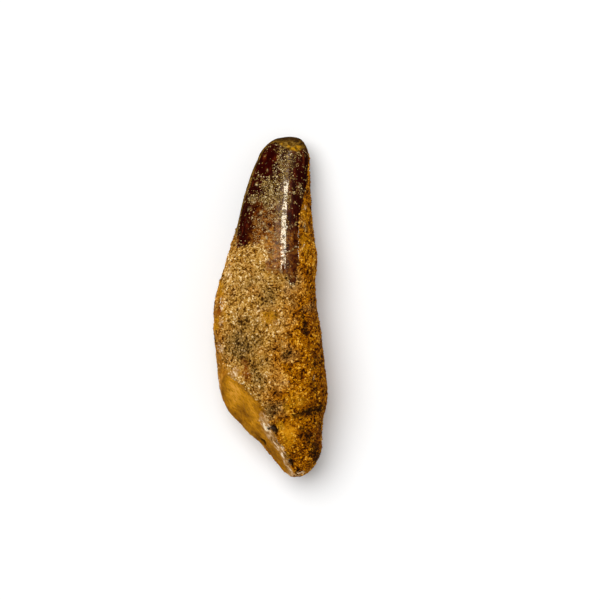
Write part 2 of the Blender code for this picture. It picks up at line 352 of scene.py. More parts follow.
# Areas drawn as patches on the front, as (seed of their edges, whether broad, patches). A patch
# is x, y, half-width, half-height and strength, and last a turn in degrees if it is turned.
PATCHED = {
    "grey": (40, True, (
        (-5.9, -7.6, 3.4, 3.4, 0.9, 10), (-5.4, -3.2, 2.6, 2.4, 0.6), (-2.6, -13.8, 1.5, 3.2, 0.8, 16),
        (2.4, -15.4, 1.3, 1.8, 0.35), (-0.6, 2.2, 2.2, 2.2, 0.7), (3.6, 6.6, 1.3, 2.2, 0.9),
        (-4.0, 4.8, 2.6, 2.0, 0.7, 30), (-2.0, -2.9, 1.3, 1.4, 0.5), (-1.3, -11.4, 1.3, 1.3, 0.6),
        (0.6, -0.4, 1.2, 1.6, 0.5), (0.4, -21.0, 2.2, 1.9, 0.9, 40), (-9.6, -10.6, 1.0, 1.8, 0.5),
        (3.6, -9.3, 1.5, 1.6, 0.6, 20), (6.7, 16.3, 0.7, 1.1, 0.7), (8.3, -0.3, 1.3, 0.9, 0.6),
        (1.7, 5.8, 1.0, 1.0, 0.5), (5.4, -2.9, 0.9, 0.9, 0.4), (4.4, 5.2, 1.6, 1.4, 0.7),
        (2.4, -30.6, 0.9, 1.0, 0.6), (-7.6, 3.0, 1.6, 2.4, 0.4), (-3.2, 5.6, 5.0, 5.0, 0.4),
    )),
    "dark": (50, False, (
        (7.2, -4.0, 0.5, 2.3, 0.9, 4), (6.6, -1.6, 0.5, 1.2, 0.8, 10), (8.2, -0.2, 1.0, 0.6, 0.6),
        (6.7, 16.3, 0.5, 0.8, 0.6), (9.0, -10.9, 0.7, 2.2, 0.7), (3.5, -9.1, 1.0, 1.5, 0.5, -30),
        (5.3, -21.9, 1.4, 0.8, 0.8, 8), (8.2, -20.9, 3.2, 1.0, 1.0, 14), (9.3, -29.6, 1.2, 2.6, 1.0, 8),
        (10.6, -24.4, 0.9, 2.4, 0.6, 5), (7.9, -26.6, 0.9, 1.8, 0.8, 10),
        (6.4, -24.6, 0.8, 0.9, 0.6, 10), (8.9, -15.6, 0.5, 2.4, 0.6, 8),
        (0.6, -24.6, 0.9, 1.4, 0.9, 32), (4.2, -31.6, 0.6, 1.0, 0.9, 28),
        (5.6, -33.6, 0.5, 0.6, 0.9, 30), (3.2, -30.2, 1.2, 1.4, 0.6), (-2.2, -27.0, 0.4, 1.4, 0.8, 45),
    )),
    # Broad patches with many small dark pores.
    "specked": (55, True, (
        (-5.8, -7.8, 3.2, 3.2, 0.6, 10), (-5.6, -3.4, 2.4, 2.0, 0.4, 10),
        (-2.6, -14.0, 1.2, 3.4, 0.45, 16), (-0.3, 1.8, 1.6, 1.8, 0.5), (2.8, -7.0, 2.0, 2.6, 0.35, 30),
        (0.3, -21.0, 1.9, 1.8, 0.5, 20), (8.8, -26.0, 1.4, 4.0, 0.4),
    )),
    # Iron stain besides the right-hand side.
    "iron": (75, True, (
        (-0.2, -1.9, 1.5, 1.5, 0.8), (-0.6, -9.0, 1.8, 1.0, 0.5, 10), (1.4, -14.4, 2.0, 2.4, 0.3),
        (4.0, -19.2, 2.8, 1.6, 0.9), (-10.7, 1.8, 1.2, 4.4, 0.9), (-10.6, -6.0, 0.9, 4.0, 0.8),
        (-10.0, -13.0, 1.2, 3.6, 0.6), (0.6, 10.2, 2.0, 1.8, 0.35), (-7.3, 13.4, 1.3, 1.4, 0.6),
        (1.6, -9.2, 1.6, 2.4, 0.9),
    )),
    # Amber where the enamel is thin; the narrow patch at (3.9, 25.5) along the highlight's upper part is
    # a painted glow.
    "amber": (80, False, (
        (-0.9, 15.0, 3.3, 5.0, 1.0, 5), (1.8, 10.6, 1.3, 3.4, 1.0), (0.4, 8.6, 1.9, 2.2, 0.9),
        (0.6, 20.4, 1.0, 2.0, 0.5), (-2.4, 19.5, 1.8, 2.0, 0.4), (4.6, 10.2, 1.3, 4.4, 0.6),
        (4.3, 13.0, 1.2, 2.4, 0.9), (-7.5, 14.5, 0.9, 1.6, 0.8), (3.4, 7.0, 1.1, 1.6, 0.6),
        (3.9, 25.5, 0.5, 5.0, 0.3), (5.6, 13.0, 0.9, 3.6, 0.6),
    )),
    "bare": (90, False, (
        (-5.5, 15.9, 1.7, 3.9, 0.9, 12), (0.2, 33.0, 1.3, 0.8, 0.4), (-1.8, 29.9, 2.6, 3.0, 0.85, 30),
        (-4.7, 25.4, 1.5, 2.3, 0.8, 20), (-3.9, 27.8, 1.2, 1.8, 0.85), (-3.8, 19.8, 1.3, 1.4, 0.5),
        (-5.8, 22.8, 0.8, 1.4, 0.4), (-3.0, 25.0, 1.0, 1.2, 0.4), (5.2, 26.4, 1.3, 2.4, 0.5),
        (-6.0, 22.6, 1.0, 5.0, 0.6, 16), (7.1, 27.6, 1.3, 3.6, 0.6), (5.3, 19.0, 1.1, 3.8, 0.8),
        (4.9, 10.4, 1.0, 4.6, 0.5),
    )),
    # Sand on the enamel. The narrow patches at x = 2.0 to 3.8 lie along the highlight, and the dust
    # there is a painted haze beside it.
    "sand": (100, False, (
        (0.0, 22.4, 2.1, 3.2, 0.68), (-3.8, 22.0, 1.0, 1.1, 0.5), (5.6, 23.6, 1.2, 1.6, 0.15),
        (4.0, 30.6, 1.8, 1.3, 0.2), (3.0, 28.4, 0.8, 3.4, 0.3), (-0.4, 15.0, 3.2, 4.8, 0.4),
        (3.7, 27.6, 0.8, 2.6, 0.8), (2.0, 14.0, 0.8, 9.0, 0.25), (3.8, 22.4, 0.8, 1.6, 0.5),
        (-3.2, 18.0, 1.6, 2.0, 0.1),
    )),
    # Milky pale spots; those at the crest's top and on the pinkish bump low on the left are partly
    # painted highlight.
    "pale": (110, False, (
        (-7.0, -13.3, 1.1, 1.4, 0.62, -10), (-1.0, -24.0, 0.8, 1.2, 1.0, 25),
        (-0.9, -23.7, 0.5, 0.7, 1.0, 25), (-2.4, -22.4, 0.7, 0.7, 0.6, 30),
        (6.3, -34.0, 1.7, 0.6, 0.65, 8), (8.4, -14.0, 0.5, 0.7, 0.65), (-8.3, 7.6, 0.6, 2.0, 0.55, -8),
        (-10.2, 0.6, 0.55, 1.9, 0.7, 6), (-10.2, -2.8, 0.5, 0.9, 0.7), (-10.2, -8.3, 0.6, 1.0, 0.7),
        (6.8, 11.9, 0.4, 1.0, 0.6, -35), (7.0, 20.4, 0.3, 0.8, 0.7), (7.0, 16.4, 0.35, 1.4, 0.5),
        (2.1, 7.6, 0.5, 1.2, 0.5), (3.2, -15.2, 0.9, 0.7, 0.5, 20),
    )),
    "rust": (120, False, (
        (-5.1, -12.8, 0.9, 2.3, 0.9, 5), (-10.75, -0.9, 0.5, 0.7, 1.0), (-0.3, 8.3, 0.7, 1.2, 1.0, 20),
        (1.4, 7.2, 0.8, 0.6, 0.6), (-11.3, -2.4, 0.5, 1.6, 0.6), (8.4, -3.6, 0.9, 1.6, 0.35),
        (9.8, -27.0, 0.9, 3.4, 0.4, 5),
    )),
    "pits": (130, False, (
        (0.6, -24.7, 0.75, 1.2, 1.0, 30), (4.1, -31.6, 0.5, 0.95, 1.0, 30),
        (5.4, -33.5, 0.42, 0.5, 1.0, 30), (1.75, -27.8, 0.22, 1.1, 0.8, 36),
        (9.0, -21.0, 2.8, 0.4, 0.4, 14), (5.4, -21.9, 1.1, 0.4, 0.35, 8),
        (7.2, -4.0, 0.3, 2.2, 0.35, 4), (-2.0, -27.0, 0.4, 1.1, 0.8, 45),
        (-1.7, -21.0, 0.35, 0.8, 0.4, 20),
    )),
    # Larger cream flakes stuck to the enamel.
    "flakes": (145, False, (
        (-2.8, 25.2, 0.35, 0.4, 1.0), (-1.4, 25.0, 0.3, 0.45, 1.0, 20),
        (0.1, 23.6, 0.45, 0.7, 0.9, -20), (-0.9, 22.4, 0.4, 0.5, 0.8, 10),
        (-3.5, 21.6, 0.65, 0.95, 0.8), (-4.4, 20.2, 0.4, 0.4, 0.8), (1.4, 21.2, 0.35, 0.7, 0.8, 10),
        (-1.9, 19.4, 0.4, 0.35, 0.8), (-2.0, 16.8, 0.35, 0.5, 0.7, 30), (1.0, 17.4, 0.3, 0.5, 0.7, -10),
        (-0.6, 13.8, 0.4, 0.4, 0.8), (0.9, 27.2, 0.25, 0.6, 0.7), (-0.6, 27.6, 0.3, 0.3, 0.7),
        (4.9, 26.2, 0.3, 0.3, 0.6),
    )),
    "gold": (160, False, (
        (2.4, 33.0, 0.35, 0.6, 1.0, -20), (3.4, 33.1, 0.5, 0.35, 0.9, -30),
        (5.1, 32.3, 1.3, 0.6, 1.0, 15), (2.2, -24.1, 0.8, 0.8, 1.0), (3.6, -26.4, 1.2, 2.2, 0.7, 10),
        (3.4, -30.0, 0.5, 1.2, 0.6, 20), (-0.2, -2.0, 1.6, 1.4, 0.8), (-1.2, 6.6, 1.0, 0.6, 0.35),
        (7.1, 19.0, 0.6, 2.6, 0.4), (-10.6, 3.2, 0.7, 2.2, 0.8), (-11.2, -3.4, 0.6, 1.3, 0.9),
        (-9.4, -1.0, 0.6, 2.2, 0.5), (7.0, 12.7, 0.8, 2.4, 0.5), (5.0, -18.8, 2.2, 1.3, 0.5),
        (3.4, -20.2, 1.4, 0.8, 0.6),
    )),
    "smooth": (170, False, (
        (3.9, -24.9, 1.9, 1.7, 0.9), (8.6, -0.6, 1.0, 2.2, 0.5), (-10.4, -12.0, 1.2, 3.0, 0.9),
        (-8.0, -13.6, 1.6, 1.8, 0.8), (-7.0, -13.1, 1.4, 1.8, 1.0), (-11.0, 0.0, 0.7, 4.0, 0.7),
        (-9.6, 9.6, 0.6, 1.2, 0.7), (-0.2, -2.0, 1.4, 1.1, 0.4), (6.9, -19.0, 1.4, 1.6, 0.4),
        (0.2, 8.1, 0.9, 1.1, 0.5), (2.6, 6.2, 1.0, 2.0, 0.4), (-9.9, -14.6, 1.2, 3.6, 1.0, 8),
    )),
    # Lighter and darker patches of crust, amber enamel and the broken face: partly the stone's own tone
    # and partly painted light and shade, such as the darker rims down both sides and at the tip's right.
    "light": (180, True, (
        (-0.5, 12.4, 2.7, 2.4, 0.8), (-2.2, 8.6, 3.4, 2.6, 0.15), (3.4, -24.4, 1.4, 1.4, 1.0),
        (-8.4, 6.6, 1.3, 3.2, 0.25, -8), (-9.8, 1.4, 1.0, 2.4, 0.3), (2.6, -12.3, 1.2, 1.2, 0.8),
        (0.9, -12.7, 1.2, 1.1, 0.6), (5.8, -7.4, 1.3, 1.0, 0.4), (5.7, -10.6, 1.0, 1.4, 0.6),
        (2.3, -2.0, 1.3, 1.2, 0.7), (9.6, -3.2, 0.9, 2.6, 0.4), (9.2, 10.2, 0.8, 3.2, 0.6),
        (-10.5, -8.2, 0.7, 1.2, 0.5), (5.2, 5.9, 0.9, 1.4, 0.7), (-1.8, 3.5, 1.2, 1.2, 0.6),
        (6.1, -4.6, 0.8, 1.4, 0.4), (3.8, -14.2, 1.3, 1.0, 0.9), (3.2, -15.2, 1.1, 0.9, 0.6),
        (9.2, 7.0, 0.7, 1.4, 0.3), (5.0, -18.6, 2.2, 1.3, 0.5), (3.2, -20.2, 1.6, 0.9, 0.8),
        (2.2, -24.1, 0.9, 0.8, 1.0), (0.6, 9.8, 1.4, 1.7, 0.9), (3.3, -25.3, 1.7, 2.6, 0.8),
        (5.8, -33.6, 1.7, 0.9, 0.6), (7.1, 19.2, 0.7, 2.4, 0.2), (6.9, 12.7, 0.9, 2.2, 0.4),
        (-7.8, -16.8, 2.2, 3.0, 0.9), (-3.6, -20.6, 1.1, 3.4, 0.9, 32),
        (-2.6, -22.9, 1.0, 0.9, 0.9, 30), (0.3, -28.4, 0.5, 3.0, 0.4, 38),
    )),
    "shade": (190, True, (
        (7.6, -26.8, 0.9, 2.6, 0.8, 10), (6.3, 33.4, 1.3, 1.2, 0.8), (9.0, -29.6, 1.1, 2.8, 1.0, 8),
        (10.8, -24.0, 0.9, 2.6, 0.8, 5), (6.4, -31.0, 2.4, 1.4, 0.4), (3.0, -30.4, 1.2, 1.3, 0.5),
        (9.9, -12.0, 1.0, 6.0, 0.5, -4), (0.0, -20.8, 1.9, 1.7, 0.35), (7.2, -3.8, 0.7, 2.6, 0.6),
        (3.6, -9.3, 1.3, 1.6, 0.5), (-6.2, -8.6, 2.8, 2.6, 0.2), (8.8, -21.1, 3.0, 1.2, 0.7, 14),
        (6.2, 16.0, 0.5, 3.4, 0.6), (-4.4, -3.6, 2.4, 2.0, 0.3), (-3.8, -10.2, 1.5, 2.2, 0.9),
        (-1.3, -11.4, 1.3, 1.4, 0.7), (1.2, -9.4, 1.5, 1.2, 0.7), (1.1, -4.8, 1.3, 1.2, 0.4),
        (-5.0, 1.6, 1.4, 1.2, 0.4), (-4.7, -15.2, 1.1, 1.2, 0.8), (8.1, -23.3, 1.0, 0.9, 0.6),
        (-4.6, -5.9, 1.1, 1.1, 0.4), (-10.8, -11.2, 0.9, 1.8, 0.6), (-10.9, 4.6, 1.2, 2.4, 1.0),
        (1.7, -17.1, 1.0, 0.9, 0.6), (-7.7, -0.3, 1.3, 1.3, 0.4), (-3.2, 10.0, 1.3, 1.2, 0.4),
        (7.5, -31.8, 1.3, 1.2, 0.6), (-11.4, -1.2, 0.8, 2.8, 1.0), (-9.2, -6.4, 1.2, 1.4, 0.7),
        (9.3, 2.0, 0.9, 3.6, 0.8), (6.8, -16.3, 1.1, 1.0, 0.4), (9.0, -6.8, 0.9, 1.4, 0.5),
        (-2.6, -14.6, 1.2, 2.9, 0.4), (-0.2, 1.6, 1.6, 2.0, 0.4), (-11.3, -5.4, 0.8, 4.0, 0.8),
        (-6.7, -22.9, 1.6, 1.1, 0.9, -45), (-5.6, -20.6, 0.8, 2.4, 0.5, 30),
        (-2.0, -27.0, 0.5, 1.7, 0.9, 45), (0.3, -29.6, 0.7, 3.4, 0.7, 42),
        (-9.7, -17.2, 0.5, 2.6, 0.5, 8),
    )),
}
# Crest between the broken face and the crust, from top to bottom, as (x, y).
CREST = (
    (-8.9, -13.6), (-7.4, -14.6), (-5.6, -15.7), (-4.2, -17.5), (-2.9, -18.8), (-1.6, -20.2),
    (-1.1, -21.6), (-0.1, -23.9), (0.7, -26.0), (1.5, -27.1), (2.3, -28.2), (3.1, -30.2),
    (3.6, -31.6), (4.3, -33.2), (4.9, -34.8),
)
# Width of its pale band at each height, measured crosswise, as (y, width).
CREST_WIDTH = (
    (-34.9, 1.4), (-34.0, 1.4), (-32.4, 0.9), (-30.4, 1.0), (-28.3, 1.6), (-26.3, 1.7),
    (-24.2, 2.0), (-22.0, 1.2),
)
# Cream veins on the enamel, as lines of (x, y).
VEINS = (
    ((1.7, 32.4), (2.1, 31.6), (1.6, 30.5), (1.9, 29.7), (2.3, 29.0)),
    ((3.5, 16.2), (4.3, 16.6), (4.9, 16.4), (5.5, 17.2), (6.2, 17.5)),
    ((3.2, 11.0), (4.2, 11.4), (4.9, 12.0), (5.4, 12.3)),
    ((-1.7, 17.0), (-1.1, 16.2), (0.2, 15.0), (1.0, 14.8)),
)
VEIN_WIDTH = 0.12
# The enamel grows dull upwards between the first two heights, and downwards between the last
# two, so that the highlight fades out at both ends.
DULL_FROM = 24.2
DULL_BEYOND = 26.4
DULL_BELOW = (8.6, 7.4)
# Edges of the patches: how far they wander, and where they start and end in half-widths.
WARP_SIZE = 1.3
WARP_REACH = 0.55
CRISP = (1.35, 0.55)
BROAD_WARP_SIZE = 2.2
BROAD_WARP_REACH = 1.1
SOFT = (1.7, 0.15)
# Kinds of noise over the skin, as (size, layers, seed).
RAGGED = (1.6, 4, 20)
RIM_WANDER = (3.2, 5, 22)
BREAK_EDGE = (0.9, 2, 25)
BLOTCHES = (3.0, 3, 30)
STAINS = (2.2, 3, 60)
IRON_EDGE = (2.6, 3, 70)
RUST_SPOTS = (1.8, 2, 125)
TONES = (5.0, 3, 185)
CRUST_LUMPS = (4.5, 2, 200)
CRUST_KNOBS = (2.1, 2, 205)
CRUST_ROUGHNESS = (1.1, 3, 210)
SCALLOPS = (4.0, 3, 250)
DUST_CLUMPS = (1.3, 3, 260)
# Patches of the back, as (noise, its sign, where they start and are full, strength).
ON_BACK = {
    "grey": (BLOTCHES, 1, 0.15, 0.6, 0.8), "dark": (STAINS, 1, 0.35, 0.7, 0.6),
    "amber": (BLOTCHES, -1, 0.1, 0.7, 1.0), "light": (TONES, 1, 0.15, 0.7, 0.7),
    "shade": (TONES, -1, 0.15, 0.7, 0.6), "rust": (RUST_SPOTS, 1, 0.62, 0.8, 0.8),
}
BACK_AMBER_FADE = (24.0, 16.0)
# The front, by how far the skin faces up.
FRONT_FADE = (-0.15, 0.25)
# The iron stain's left edge: its x at y = 0, its lean, where the lean ends, and its fade.
IRON_X = 3.0
IRON_LEAN = 0.21
IRON_LEAN_ENDS = (-22.0, 5.0)
IRON_FADE = (-2.6, 3.4)
IRON_ON_BACK = 0.9
LEFT_RIM_X = (-8.2, -10.6)
LEFT_RIM_Y = (6.0, 2.0)
LEFT_RIM_IRON = 0.45
# Sand on the enamel where no patch says more or less.
SAND_EVERYWHERE = 0.40
# How raggedly the worn area and the broken face end, in millimetres, and their fades.
WORN_RAGGED = 0.45
WORN_FADE = (-0.2, 0.2)
BREAK_RAGGED = 0.35
BREAK_FADE = (0.4, -0.2)
DULL_RAGGED = 0.6
# Wander of the crest and the veins as (size, reach), and the veins' fade in widths.
FINE_WANDER = (0.8, 0.22)
VEIN_FADE = (1.3, 0.5)
# The crest's fade across its width, beyond its line and towards its top.
CREST_INNER = (1.2, 0.5)
CREST_OUTER = (-0.5, -0.1)
CREST_TOP = (-20.6, -23.0)
# Relief in millimetres: the skin starts below the solid's surface so that its bumps fit inside.
SKIN_SINK = 0.12
PIT_DEPTH = 0.8
HOLE_SPACING = 1.5
HOLE_DEPTH = 0.35
HOLE_EDGE = (0.34, 0.1)
HOLES_LEFT_OUT = 0.45
FLUTE_HEIGHT = 0.022
FLUTE_STRETCH = (1.0, 0.16, 1.0)


def along_limit(limit, places):
    """The limit's height at each place, which may be an angle in degrees."""
    knots = np.array(limit, float)
    return np.interp(places, knots[:, 0], knots[:, 1])


def wandering(points, size, reach, seed):
    """The points' x and y, moved about by noise so that edges drawn on them are uneven."""
    wander = [layered_noise(points, size, 3, seed + k) * reach for k in (0, 5)]
    return (points[:, :2] + np.column_stack(wander)).T


def patches(points, front, rows, seed, broad):
    """The strongest of the patches at each point, on the front only; broad ones are soft."""
    size, reach = (BROAD_WARP_SIZE, BROAD_WARP_REACH) if broad else (WARP_SIZE, WARP_REACH)
    x, y = wandering(points, size, reach, seed)
    outer, inner = SOFT if broad else CRISP
    strongest = np.zeros(len(points))
    for centre_x, centre_y, half_width, half_height, strength, *turn in rows:
        angle = math.radians(turn[0]) if turn else 0.0
        c, s = math.cos(angle), math.sin(angle)
        across = ((x - centre_x) * c + (y - centre_y) * s) / half_width
        along = ((y - centre_y) * c - (x - centre_x) * s) / half_height
        inside = ease(outer, inner, np.hypot(across, along))
        strongest = np.maximum(strongest, strength * inside)
    return strongest * front


def line_distance(x, y, line):
    """Distance of each place to a line of straight parts."""
    nearest = np.full(len(x), FAR)
    for (ax, ay), (bx, by) in zip(line, line[1:]):
        length = (bx - ax) ** 2 + (by - ay) ** 2
        share = np.clip(((x - ax) * (bx - ax) + (y - ay) * (by - ay)) / length, 0.0, 1.0)
        gap = np.hypot(x - ax - share * (bx - ax), y - ay - share * (by - ay))
        nearest = np.minimum(nearest, gap)
    return nearest


def crest_line(y):
    """The crest's x at each height."""
    knots = np.array(CREST[::-1])
    return np.interp(y, knots[:, 1], knots[:, 0])


def worn_area(points, front, angles, ragged):
    """The rubbed tip, and the band rubbed down the left flank."""
    edge = np.where(front > 0.5, along_limit(WORN_FRONT, points[:, 0]), FAR)
    wandered = angles + RIM_WANDER_DEG * skin_noise(points, RIM_WANDER)
    edge = np.minimum(edge, along_limit(WORN_RIM, wandered % 360.0))
    return ease(*WORN_FADE, points[:, 1] - edge + WORN_RAGGED * ragged)


def crust_area(y, angles, amber, ragged):
    """Everything below the crust's limit, which is softer where the enamel is amber."""
    reach = 0.3 + 0.9 * amber * ease(60.0, 75.0, angles)
    return ease(-reach, reach, along_limit(CRUST_LIMIT, angles) - y + (0.9 + amber) * ragged)


def iron_area(points, front, back):
    """Iron stain on the right-hand side and along the left rim."""
    x, y = points[:, 0], points[:, 1]
    edge = IRON_X + IRON_LEAN * np.clip(y, *IRON_LEAN_ENDS)
    iron = ease(*IRON_FADE, x - edge + 1.3 * skin_noise(points, IRON_EDGE))
    rim = ease(*LEFT_RIM_X, x) * ease(*LEFT_RIM_Y, y)
    return np.maximum(iron * (front + back * IRON_ON_BACK), LEFT_RIM_IRON * rim * front)


def crest_and_veins(points, front, on_break):
    """The pale crest beside the broken face, and the cream veins on the enamel."""
    y = points[:, 1]
    wx, wy = wandering(points, *FINE_WANDER, SEED + 140)
    inward = crest_line(wy) - wx
    crest = ease(*CREST_INNER, inward / along_limit(CREST_WIDTH, y))
    crest *= ease(*CREST_OUTER, inward) * (front * on_break)
    veins = [ease(*VEIN_FADE, line_distance(wx, wy, vein) / VEIN_WIDTH) for vein in VEINS]
    return crest * ease(*CREST_TOP, y), np.maximum.reduce(veins) * front


def skin_areas(points, normals, flatness):
    """How much of each finish every point of the skin has, from 0 to 1."""
    x, y = points[:, 0], points[:, 1]
    front = ease(*FRONT_FADE, normals[:, 2])
    back = 1.0 - front
    angles = np.degrees(np.arctan2(normals[:, 2], normals[:, 0])) % 360.0
    ragged = skin_noise(points, RAGGED)
    drawn = {
        name: patches(points, front, rows, SEED + seed, broad)
        for name, (seed, broad, rows) in PATCHED.items()
    }
    behind = {
        name: back * ease(low, high, sign * skin_noise(points, kind)) * strength
        for name, (kind, sign, low, high, strength) in ON_BACK.items()
    }
    behind["amber"] *= ease(*BACK_AMBER_FADE, y)
    # The broken face ends at the crest; beyond it the crust goes on.
    crest_x = crest_line(y)
    uneven = BREAK_RAGGED * skin_noise(points, BREAK_EDGE)
    broken = flatness["broken"] * ease(*BREAK_FADE, x - crest_x - uneven)
    crust = crust_area(y, angles, drawn["amber"], ragged)
    crest, veins = crest_and_veins(points, front, flatness["broken"])
    dull = ease(DULL_FROM, DULL_BEYOND, y + DULL_RAGGED * ragged)
    return {
        "worn": worn_area(points, front, angles, ragged),
        "broken": broken,
        "crust": np.clip(crust * (1.0 - broken), 0.0, 1.0),
        "grey": np.maximum(drawn["grey"], behind["grey"]),
        "dark": np.maximum.reduce([drawn["dark"], drawn["specked"], behind["dark"]]),
        "iron": np.maximum(iron_area(points, front, back), drawn["iron"]),
        "amber": np.maximum(drawn["amber"], behind["amber"]),
        "sand": np.clip(SAND_EVERYWHERE + drawn["sand"] - drawn["bare"], 0, 1),
        "pale": drawn["pale"],
        "vein": np.maximum(veins, drawn["flakes"]),
        "crest": crest,
        "rust": np.maximum(drawn["rust"], behind["rust"]),
        "gold": drawn["gold"],
        "pits": drawn["pits"],
        "smooth": np.maximum(drawn["smooth"], flatness["near_break"] * (x < crest_x)),
        "light": np.maximum(drawn["light"], behind["light"]),
        "shade": np.maximum(drawn["shade"], behind["shade"]),
        "dull": np.maximum(dull, ease(*DULL_BELOW, y)) * front,
    }


def relief(points, areas):
    """How far the skin stands out from the smoothed solid, in millimetres."""
    crust = areas["crust"] * (1.0 - areas["worn"])
    lumps = 0.18 * skin_noise(points, CRUST_LUMPS)
    lumps += 0.09 * skin_noise(points, CRUST_KNOBS)
    rough = 0.14 * skin_noise(points, CRUST_ROUGHNESS)
    hole, chance = nearest_cell(points, HOLE_SPACING, SEED + 220)
    holes = -HOLE_DEPTH * ease(*HOLE_EDGE, hole) * (chance > HOLES_LEFT_OUT)
    flutes = FLUTE_HEIGHT * value_noise(points * FLUTE_STRETCH, 1.1, SEED + 230)
    ripple = 0.04 * value_noise(points, 2.4, SEED + 240)
    scallop = 0.16 * skin_noise(points, SCALLOPS)
    sandy = 1.0 - 0.8 * areas["smooth"]
    height = -SKIN_SINK + crust * (0.10 + lumps + (rough + holes) * sandy)
    height += (1.0 - crust) * (1.0 - areas["broken"]) * (flutes + 0.01)
    height += areas["broken"] * (ripple + scallop - 0.02)
    height += 0.22 * areas["pale"] + 0.03 * areas["vein"] + 0.16 * areas["crest"]
    return height - PIT_DEPTH * areas["pits"]


# ---------------------------------------------------------------- meshes

BAKE_MAP = "OFBake"
SEAM_DEG = 270.0


def grid_normals(grid):
    """Outward unit normals of a grid that closes on itself sideways."""
    down = np.gradient(grid, axis=0)
    around = (np.roll(grid, -1, axis=1) - np.roll(grid, 1, axis=1)) / 2.0
    normals = np.cross(around, down)
    length = np.linalg.norm(normals, axis=2, keepdims=True)
    normals = normals / np.maximum(length, TINY)
    normals[0] = (0.0, 1.0, 0.0)
    normals[-1] = (0.0, -1.0, 0.0)
    return normals


def mesh_object(name, points, faces, areas=None, material=None, places=None):
    """A smooth-shaded mesh object from points in millimetres, with named areas on its points.

    The places are those of the face corners on the mesh's own flat map.
    """
    mesh = bpy.data.meshes.new(name)
    mesh.from_pydata((points * MM).tolist(), [], faces)
    mesh.shade_smooth()
    for area, values in (areas or {}).items():
        attribute = mesh.attributes.new(area, "FLOAT", "POINT")
        attribute.data.foreach_set("value", values.astype(np.float32))
    if places is not None:
        layer = mesh.uv_layers.new(name=BAKE_MAP, do_init=False)
        layer.uv.foreach_set("vector", np.asarray(places, np.float32).ravel())
    if material:
        mesh.materials.append(material)
    thing = bpy.data.objects.new(name, mesh)
    bpy.context.scene.collection.objects.link(thing)
    return thing


def row_heights(grid):
    """Height of each row on the tooth's map, by length along the skin: 1 at the tip, 0 at the root."""
    steps = np.linalg.norm(np.diff(grid, axis=0), axis=2).mean(axis=1)
    along = np.concatenate(((0.0,), np.cumsum(steps)))
    return 1.0 - along / along[-1]


def grid_faces(grid):
    """Quads between the inner rows, and a fan of triangles to a pole at each end.

    Returns the faces and their corners' places on a map that is unrolled from the back.
    """
    rows, columns = grid.shape[:2]
    heights = row_heights(grid)
    seam = round(columns * SEAM_DEG / 360.0)
    faces, places = [], []
    pole_tip, first = 0, 1
    pole_root = 1 + (rows - 2) * columns
    for column in range(columns):
        beside = (column + 1) % columns
        left = (column - seam) % columns / columns
        right = left + 1.0 / columns
        middle = (left + right) / 2.0
        faces.append((pole_tip, first + beside, first + column))
        places += ((middle, heights[0]), (right, heights[1]), (left, heights[1]))
        last = first + (rows - 3) * columns
        faces.append((pole_root, last + column, last + beside))
        places += ((middle, heights[-1]), (left, heights[-2]), (right, heights[-2]))
        for row in range(rows - 3):
            near = first + row * columns
            far = near + columns
            upper, lower = heights[row + 1], heights[row + 2]
            faces.append((near + column, near + beside, far + beside, far + column))
            places += ((left, upper), (right, upper), (right, lower), (left, lower))
    return faces, places


def flatten_grid(grid):
    """The grid's points in a list: tip pole, inner rows, root pole."""
    inner = grid[1:-1].reshape(-1, grid.shape[2])
    return np.vstack((grid[0].mean(axis=0)[None], inner, grid[-1].mean(axis=0)[None]))


def fit_to_box(points, box):
    """The points stretched by a hair so that their box is the solid's own box."""
    low, high = (np.array(corner) / MM for corner in box)
    own_low, own_high = points.min(axis=0), points.max(axis=0)
    return low + (points - own_low) * (high - low) / (own_high - own_low)


# ---------------------------------------------------------------- material nodes

def linear(code):
    """A colour written as six hexadecimal digits of sRGB, as linear red, green and blue."""
    parts = [int(code[k:k + 2], 16) / 255.0 for k in (0, 2, 4)]
    return tuple(p / 12.92 if p < 0.04045 else ((p + 0.055) / 1.055) ** 2.4 for p in parts)


# Noise textures, as (size in millimetres, detail, roughness, distortion).
NOISES = {
    # Crust, and the ground between its grains.
    "lumps": (1.9, 3.0, 0.55, 0.3), "hue": (2.3, 4.0, 0.62), "clots": (1.8, 5.0, 0.68, 0.4),
    "rust": (0.6, 4.0, 0.65), "gold": (0.7, 3.0, 0.55), "pores": (0.44, 3.0, 0.62, 0.3),
    "pit_edge": (0.5, 4.0, 0.65), "web": (0.88, 2.5, 0.64, 0.5), "blotches": (2.6, 4.0, 0.6),
    "ground": (0.26, 3.0, 0.62), "polish": (1.2, 5.0, 0.62), "grain": (0.16, 2.0, 0.55),
    # Enamel and the dust on it.
    "streaks": (0.8, 4.0, 0.6), "amber": (0.9, 5.0, 0.7, 0.4), "film": (1.1, 4.0, 0.7),
    "worms": (0.42, 2.5, 0.6, 0.8), "crumbs": (0.4, 4.0, 0.7), "dust": (0.5, 3.0, 0.6),
    "beads": (0.66, 1.5, 0.5, 0.5), "ripples": (0.6, 3.0, 0.6),
    # Broken face, its crest, and the worn tip.
    "bands": (2.4, 5.0, 0.58, 0.3), "scratches": (0.34, 4.0, 0.66),
    "crest": (0.62, 4.0, 0.66, 0.3), "worn": (0.8, 5.0, 0.72, 0.4), "specks": (0.36, 3.0, 0.6),
    "pale_edge": (0.5, 4.0, 0.66), "worn_relief": (0.5, 4.0, 0.65),
}


def node_sum(operation, swapped=False):
    """A method that joins a value and another by a node."""
    def joined(self, other):
        return self.nodes.math(operation, *((other, self) if swapped else (self, other)))
    return joined


class Value:
    """One output of a node. Sums that are written with it become nodes."""

    __add__, __radd__ = node_sum("ADD"), node_sum("ADD", True)
    __sub__, __rsub__ = node_sum("SUBTRACT"), node_sum("SUBTRACT", True)
    __mul__, __rmul__ = node_sum("MULTIPLY"), node_sum("MULTIPLY", True)

    def __init__(self, nodes, socket):
        self.nodes = nodes
        self.socket = socket

    def clamped(self):
        """The same sum, kept between 0 and 1."""
        self.socket.node.use_clamp = True
        return self


